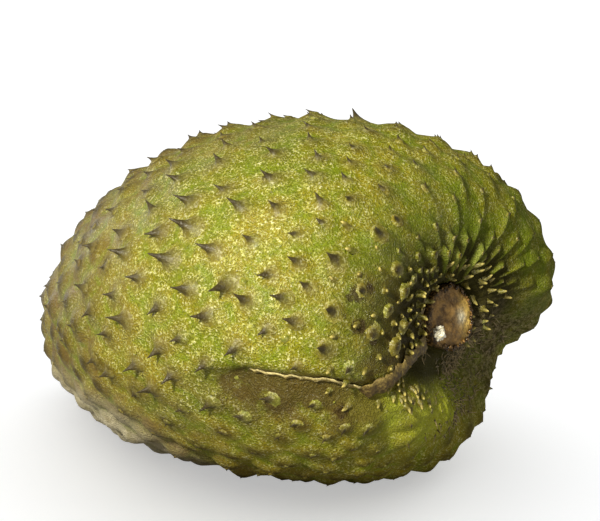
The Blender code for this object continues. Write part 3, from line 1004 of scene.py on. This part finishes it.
rng = np.random.default_rng(29)
hair_phi = np.radians(np.concatenate([
    rng.normal(152.0, 22.0, HAIR_COUNT), rng.uniform(216.0, 300.0, NEAR_HAIR_COUNT)]))
hair_reach = np.concatenate([
    rng.uniform(0.0125, 0.0440, HAIR_COUNT), rng.uniform(0.0120, 0.0170, NEAR_HAIR_COUNT)])
stem_side = np.linspace(0.0, 1.1, 900)
hair_t = np.interp(hair_reach, body_radius(stem_side), stem_side)
hairs = planting_points(
    "dry_fibres", hair_t, hair_phi, 0.0002, rng.uniform(0.5, 1.4, len(hair_t)), np.ones(len(hair_t)), 1.2)
hairs = grow(hairs, spine_tree, {
    "Ground": skin, "Rind": make_spine_material("fibre", "#96825A", 0.25, 1.0), "Base Radius": 0.00026,
    "Height": 0.0014, "Bend": 0.0022, "Tip Share": 0.20, "Taper": 0.7, "Flare": 1.0, "Unevenness": 0.7,
    "Seed": 3})
for spines in (hooks, fingers, hairs):
    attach(spines, "root")


# ---------------------------------------------------------------------------
# Torn skin. Beside the stem the rind has split along the crease: a brown papery
# strip lies over it, and farther out the split ends in a thin pale ragged edge.
# Both are the rind's own dried skin, still joined to it along their length.
# ---------------------------------------------------------------------------

STRIP_HALF_WIDTH = 0.0032
STRIP_THICK = 0.0005
EDGE_HALF_WIDTH = 0.0009
EDGE_THICK = 0.0006
STRIP_ROWS = 170
STRIP_SIDES = 12


def wavering(count, every, low, high, seed):
    """A smoothly changing random number for each of count rows."""
    knots = np.random.default_rng(seed).uniform(low, high, count // every + 2)
    return np.interp(np.arange(count) / every, np.arange(len(knots)), knots)


def make_torn_strip(name, first, last, half_width, thick, offset, lift, seed):
    """A thin flattened roll along the crease, ragged at both edges and pinched shut at both ends."""
    count, sides = STRIP_ROWS, STRIP_SIDES
    t = np.linspace(first, last, count)
    ends = np.clip(np.minimum(np.arange(count), np.arange(count)[::-1]) / 8.0, 0.04, 1.0) ** 0.6
    reach = body_radius(t)
    middle_phi = crease_angle(t) + (offset + wavering(count, 7, -0.0006, 0.0006, seed)) / reach
    wide = half_width * ends * wavering(count, 4, 0.75, 1.2, seed + 1)
    deep = thick * ends * wavering(count, 5, 0.7, 1.2, seed + 2)
    high = lift * ends * wavering(count, 6, 0.4, 1.3, seed + 3)
    turn = np.arange(sides) * 2.0 * math.pi / sides
    rows_t = np.repeat(t[:, None], sides, axis=1)
    rows_phi = middle_phi[:, None] + wide[:, None] * np.cos(turn) / reach[:, None]
    rise = high[:, None] + deep[:, None] * np.sin(turn) + 0.00010 * np.sin(5.0 * turn + 9.0 * rows_t)
    points = skin_point(rows_t, rows_phi, rise)[0].reshape(-1, 3)
    faces = ring_faces(count, sides)
    faces += [list(range(sides)), list(range((count - 1) * sides, count * sides))]
    mesh = closed_mesh(name, points, faces)
    add_field(mesh, "across", np.tile(np.cos(turn), count))
    strip = add_object(name, mesh)
    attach(strip, "root")
    return strip


def make_papery_material(name, dark, light, share):
    """Dried skin: fibres of two browns, paler along the upper edge."""
    material, tree, shader = new_material(name)
    fibres = noise(tree, own_place(tree), 900.0, 4.0, 0.7)
    edge = between(tree, field(tree, "across"), 0.1, 0.9)
    pale = scaled(tree, edge, share, between(tree, fibres, 0.45, 0.68))
    shade = blend(tree, maths(tree, "MINIMUM", pale, 1.0), dark, light)
    feed(tree, shader, {"Base Color": shade, "Roughness": scaled(tree, fibres, 0.5, 0.3)})
    raise_surface(tree, shader, fibres, 0.0006)
    return material


strip = make_torn_strip("papery_strip", 0.130, 0.665, STRIP_HALF_WIDTH, STRIP_THICK, 0.0004, 0.0009, 21)
strip.data.materials.append(make_papery_material("papery_skin", "#4E3B19", "#96803F", 0.4))
ragged = make_torn_strip("ragged_edge", 0.640, 1.110, EDGE_HALF_WIDTH, EDGE_THICK, 0.0012, 0.0008, 33)
ragged.data.materials.append(make_papery_material("ragged_skin", "#8F7B3A", "#DCCB8E", 0.6))


# ---------------------------------------------------------------------------
# Stem stub. A short woody disc, broken off rough and slightly domed, seated in
# the pit of the fruit: brown granular wood, with a crust of dark beads of dried
# sap round its rim.
# ---------------------------------------------------------------------------

STUB_HALF_WIDTH = 0.0110
STUB_HALF_HEIGHT = 0.0101
STUB_HEIGHT = 0.0064
STUB_SHOULDER = 0.0006
STUB_DOME = 0.0010
STUB_GAP = 0.0003
STUB_COLUMNS = 88
STUB_WALL = ((0.86, 0.0), (0.95, 0.0006), (0.99, 0.0018), (1.0, 0.0032), (0.995, 0.0044), (0.975, 0.0053))
BEAD_RADIUS = 0.00048
BEAD_COUNT = 150
RANDOM_NUMBERS = (2, 3)
RANDOM_NUMBER_OUT = 1

stub_floor = HALF_LENGTH - BASIN_DEPTH - PIT_DEPTH
stub_bend = (stub_floor / HALF_LENGTH) ** 2
stub_centre = np.array([stub_floor + STUB_GAP, BEND_Y * stub_bend, BEND_Z * stub_bend + BASIN_DROP])


def stub_point(share, turn, height):
    """Place on the table of points of the stub: share of its radius, clock angle and height over the pit."""
    uneven = 1.0 + 0.025 * np.sin(3.0 * turn + 1.0) + 0.018 * np.sin(7.0 * turn)
    uneven = uneven + 0.012 * np.sin(13.0 * turn + 2.0)
    y = STUB_HALF_WIDTH * share * uneven * np.sin(turn)
    z = STUB_HALF_HEIGHT * share * uneven * np.cos(turn)
    return lay_down(np.stack([height + 0.0 * y, y, z], axis=-1) + stub_centre)


def grainy(place, scale, seed):
    """Rough grain between -1 and 1 at a place."""
    return mathutils.noise.fractal(place * scale + Vector((seed, 0.0, 0.0)), 0.9, 2.1, 4)


def make_stub():
    """The disc as one closed mesh: wall, rounded shoulder and rough domed face."""
    face_share = np.linspace(0.94, 0.04, 24)
    face_height = STUB_HEIGHT - STUB_SHOULDER + STUB_DOME * (0.6 - (face_share / 0.94) ** 2)
    wall_share, wall_height = np.transpose(STUB_WALL)
    columns = np.arange(STUB_COLUMNS) * 2.0 * math.pi / STUB_COLUMNS
    share, turn = np.meshgrid(np.concatenate([wall_share, face_share]), columns, indexing="ij")
    height = np.concatenate([wall_height, face_height])[:, None]
    dish = 0.0007 * bump(share - 0.45, 0.25) * facing(turn, 290.0, 0.9)
    points = stub_point(share, turn, height - dish).reshape(-1, 3)
    ends = stub_point(np.zeros(2), np.zeros(2), np.array([0.0, STUB_HEIGHT]))
    axis = turned(np.array([1.0, 0.0, 0.0]))
    for i in range(len(STUB_WALL) * STUB_COLUMNS, len(points)):
        points[i] += 0.00042 * grainy(Vector(points[i]), 420.0, 3.0) * axis
    last_row = len(points) - STUB_COLUMNS
    faces = ring_faces(len(share), STUB_COLUMNS) + end_fan(0, STUB_COLUMNS, len(points))
    faces += end_fan(last_row, STUB_COLUMNS, len(points) + 1)
    mesh = closed_mesh("stem_stub_wood", np.concatenate([points, ends]), faces)
    across = (share * np.sin(turn)).ravel()
    upward = (share * np.cos(turn)).ravel()
    # Yellow-brown patch on the right of the face: the wood's own colour, brightened as painted light.
    add_mask(mesh, "ochre", bump(across - 0.70, 0.34) * bump(upward - 0.10, 0.60))
    # Pale spot near the middle of the face: partly pale wood, partly a painted highlight.
    add_mask(mesh, "pale", bump(across - 0.36, 0.20) * bump(upward - 0.02, 0.20))
    add_mask(mesh, "rim", fade(share, 0.80, 0.97).ravel(), 1.0)
    return add_object("stem_stub_wood", mesh)


def make_wood_material():
    """Broken wood: brown granular pith with a yellow-brown patch brightened as painted light, pale in the
    middle partly as a painted highlight, and a dark rim.
    """
    material, tree, shader = new_material("broken_wood")
    place = own_place(tree)
    cloud = noise(tree, place, 260.0, 4.0, 0.6)
    grit = noise(tree, place, 1300.0, 3.0, 0.65)
    shade = blend(tree, between(tree, cloud, 0.38, 0.62), "#5E431C", "#A07A3E")
    shade = tint(tree, shade, between(tree, grit, 0.52, 0.68), 0.45, "#BE9A5C")
    # Painted light on the right of the face.
    shade = tint(tree, shade, field(tree, "ochre"), between(tree, grit, 0.30, 0.50), "#FFD469")
    # Pale spot, partly a painted highlight.
    shade = tint(tree, shade, field(tree, "pale"), between(tree, cloud, 0.30, 0.55), "#F3EACB")
    shade = tint(tree, shade, field(tree, "rim"), between(tree, grit, 0.62, 0.40), "#2B1D0B")
    feed(tree, shader, {"Base Color": shade, "Roughness": scaled(tree, cloud, 0.6, 0.15)})
    raise_surface(tree, shader, grit, 0.0006)
    return material


stub = make_stub()
stub.data.materials.append(make_wood_material())
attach(stub, "root")
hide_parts("stem_stub")


def make_bead_tree():
    """Set one small ball of uneven size on every point and make them all one mesh."""
    tree, given, output = open_tree(
        "bead_crust",
        [("Bead Radius", BEAD_RADIUS), ("Smallest", 0.45), ("Largest", 1.3)],
        6,
        [("Crust", "NodeSocketMaterial")],
        "Beads",
    )
    ball = add_node(tree, "GeometryNodeMeshUVSphere", {
        "Segments": 8, "Rings": 5, "Radius": given["Bead Radius"]})
    size = add_node(tree, "FunctionNodeRandomValue", {
        RANDOM_NUMBERS[0]: given["Smallest"], RANDOM_NUMBERS[1]: given["Largest"], "Seed": given["Seed"]},
        data_type="FLOAT")
    planted = add_node(tree, "GeometryNodeInstanceOnPoints", {
        "Points": given["Places"], "Instance": ball.outputs["Mesh"],
        "Scale": size.outputs[RANDOM_NUMBER_OUT]})
    real = add_node(tree, "GeometryNodeRealizeInstances", {0: planted.outputs[0]})
    close_tree(tree, real.outputs[0], given["Crust"], output)
    return tree


def make_crust_material():
    """Dried sap: dark brown beads with a wet gloss, some of them amber."""
    material, tree, shader = new_material("sap_crust")
    amber = between(tree, noise(tree, own_place(tree), 520.0, 2.0), 0.50, 0.66)
    shade = blend(tree, amber, "#37260F", "#A87C3A")
    feed(tree, shader, {"Base Color": shade, "Roughness": scaled(tree, amber, 0.3, 0.18)})
    return material


bead_tree = make_bead_tree()
rng = np.random.default_rng(17)
bead_turn = np.radians(rng.uniform(-25.0, 205.0, BEAD_COUNT))
bead_share = rng.uniform(0.86, 1.02, BEAD_COUNT)
bead_height = STUB_HEIGHT - STUB_SHOULDER - 0.0016 * np.maximum(bead_share - 0.93, 0.0) / 0.09
beads = loose_points("sap_beads", stub_point(bead_share, bead_turn, bead_height))
beads = grow(beads, bead_tree, {"Crust": make_crust_material()})
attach(beads, "root")


# ---------------------------------------------------------------------------
# Dew. Fine drops of water between the spines of the near flank, and a few
# larger ones, each a low bead that clings to the rind.
# ---------------------------------------------------------------------------

FINE_DEW_COUNT = 90
FINE_DEW_RADIUS = 0.00030
DROP_RADIUS = 0.00150
DROP_SINK = 0.0009
DROPS = ((1.083, 278.0), (1.177, 246.0), (1.912, 272.7), (0.930, 262.0))


def make_dew_material():
    """Water on the rind, in the yellow-green of the rind below it."""
    material, tree, shader = new_material("dew")
    cloud = noise(tree, own_place(tree), 900.0, 2.0)
    shade = blend(tree, between(tree, cloud, 0.40, 0.60), "#6F7318", "#958F34")
    feed(tree, shader, {"Base Color": shade, "Roughness": times(tree, cloud, 0.12)})
    feed(tree, shader, {"Coat Weight": 1.0, "Coat Roughness": 0.03})
    return material


def make_dew(name, t, phi, radius, sink, water):
    """Drops of one size standing on the rind at these angles."""
    rise = mounds(t[:, None], phi[:, None])[0][:, 0]
    drops = loose_points(name, skin_point(t, phi, rise - sink)[0])
    drops = grow(drops, bead_tree, {"Bead Radius": radius, "Crust": water})
    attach(drops, "root")


water = make_dew_material()
rng = np.random.default_rng(41)
host = rng.choice(np.flatnonzero((spine_vigour > 0.5) & (spine_gap > 0.008)), FINE_DEW_COUNT)
dew_t = spine_t[host] + rng.normal(0.0, 0.045, FINE_DEW_COUNT)
dew_phi = spine_phi[host] + rng.normal(0.0, 0.055, FINE_DEW_COUNT)
make_dew("fine_dew", dew_t, dew_phi, FINE_DEW_RADIUS, 0.0, water)
drop_t, drop_angle = np.transpose(DROPS)
make_dew("dew_drops", drop_t, np.radians(drop_angle), DROP_RADIUS, DROP_SINK, water)


# ---------------------------------------------------------------------------
# Crumb. A rough lump of cream-coloured sap, dried on the lower edge of the
# broken stem, on the side of the near flank.
# ---------------------------------------------------------------------------

CRUMB_SIZE = 0.0019
CRUMB_SHARE = 0.86
CRUMB_TURN = math.radians(240.0)
CRUMB_LIFT = 0.0006


def make_crumb():
    """The crumb as one lumpy ball, sunk a little into the wood."""
    bm = bmesh.new()
    bmesh.ops.create_icosphere(bm, subdivisions=4, radius=1.0)
    seat = Vector(stub_point(np.array(CRUMB_SHARE), CRUMB_TURN, np.array(STUB_HEIGHT + CRUMB_LIFT)))
    for vertex in bm.verts:
        lump = 1.0 + 0.38 * grainy(vertex.co, 2.1, 8.0)
        vertex.co = seat + CRUMB_SIZE * lump * Vector((vertex.co.x, 0.85 * vertex.co.y, 1.15 * vertex.co.z))
    mesh = bpy.data.meshes.new("dried_sap")
    bm.to_mesh(mesh)
    bm.free()
    mesh.shade_smooth()
    return add_object("dried_sap", mesh)


def make_crumb_material():
    """Dried sap: cream with paler grit."""
    material, tree, shader = new_material("cream_sap")
    grit = noise(tree, own_place(tree), 1100.0, 3.0, 0.6)
    shade = blend(tree, between(tree, grit, 0.36, 0.56), "#C9B98A", "#FBF5E2")
    feed(tree, shader, {"Base Color": shade, "Roughness": scaled(tree, grit, 0.5, 0.2)})
    raise_surface(tree, shader, grit, 0.0005)
    return material


crumb = make_crumb()
crumb.data.materials.append(make_crumb_material())
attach(crumb, "root")
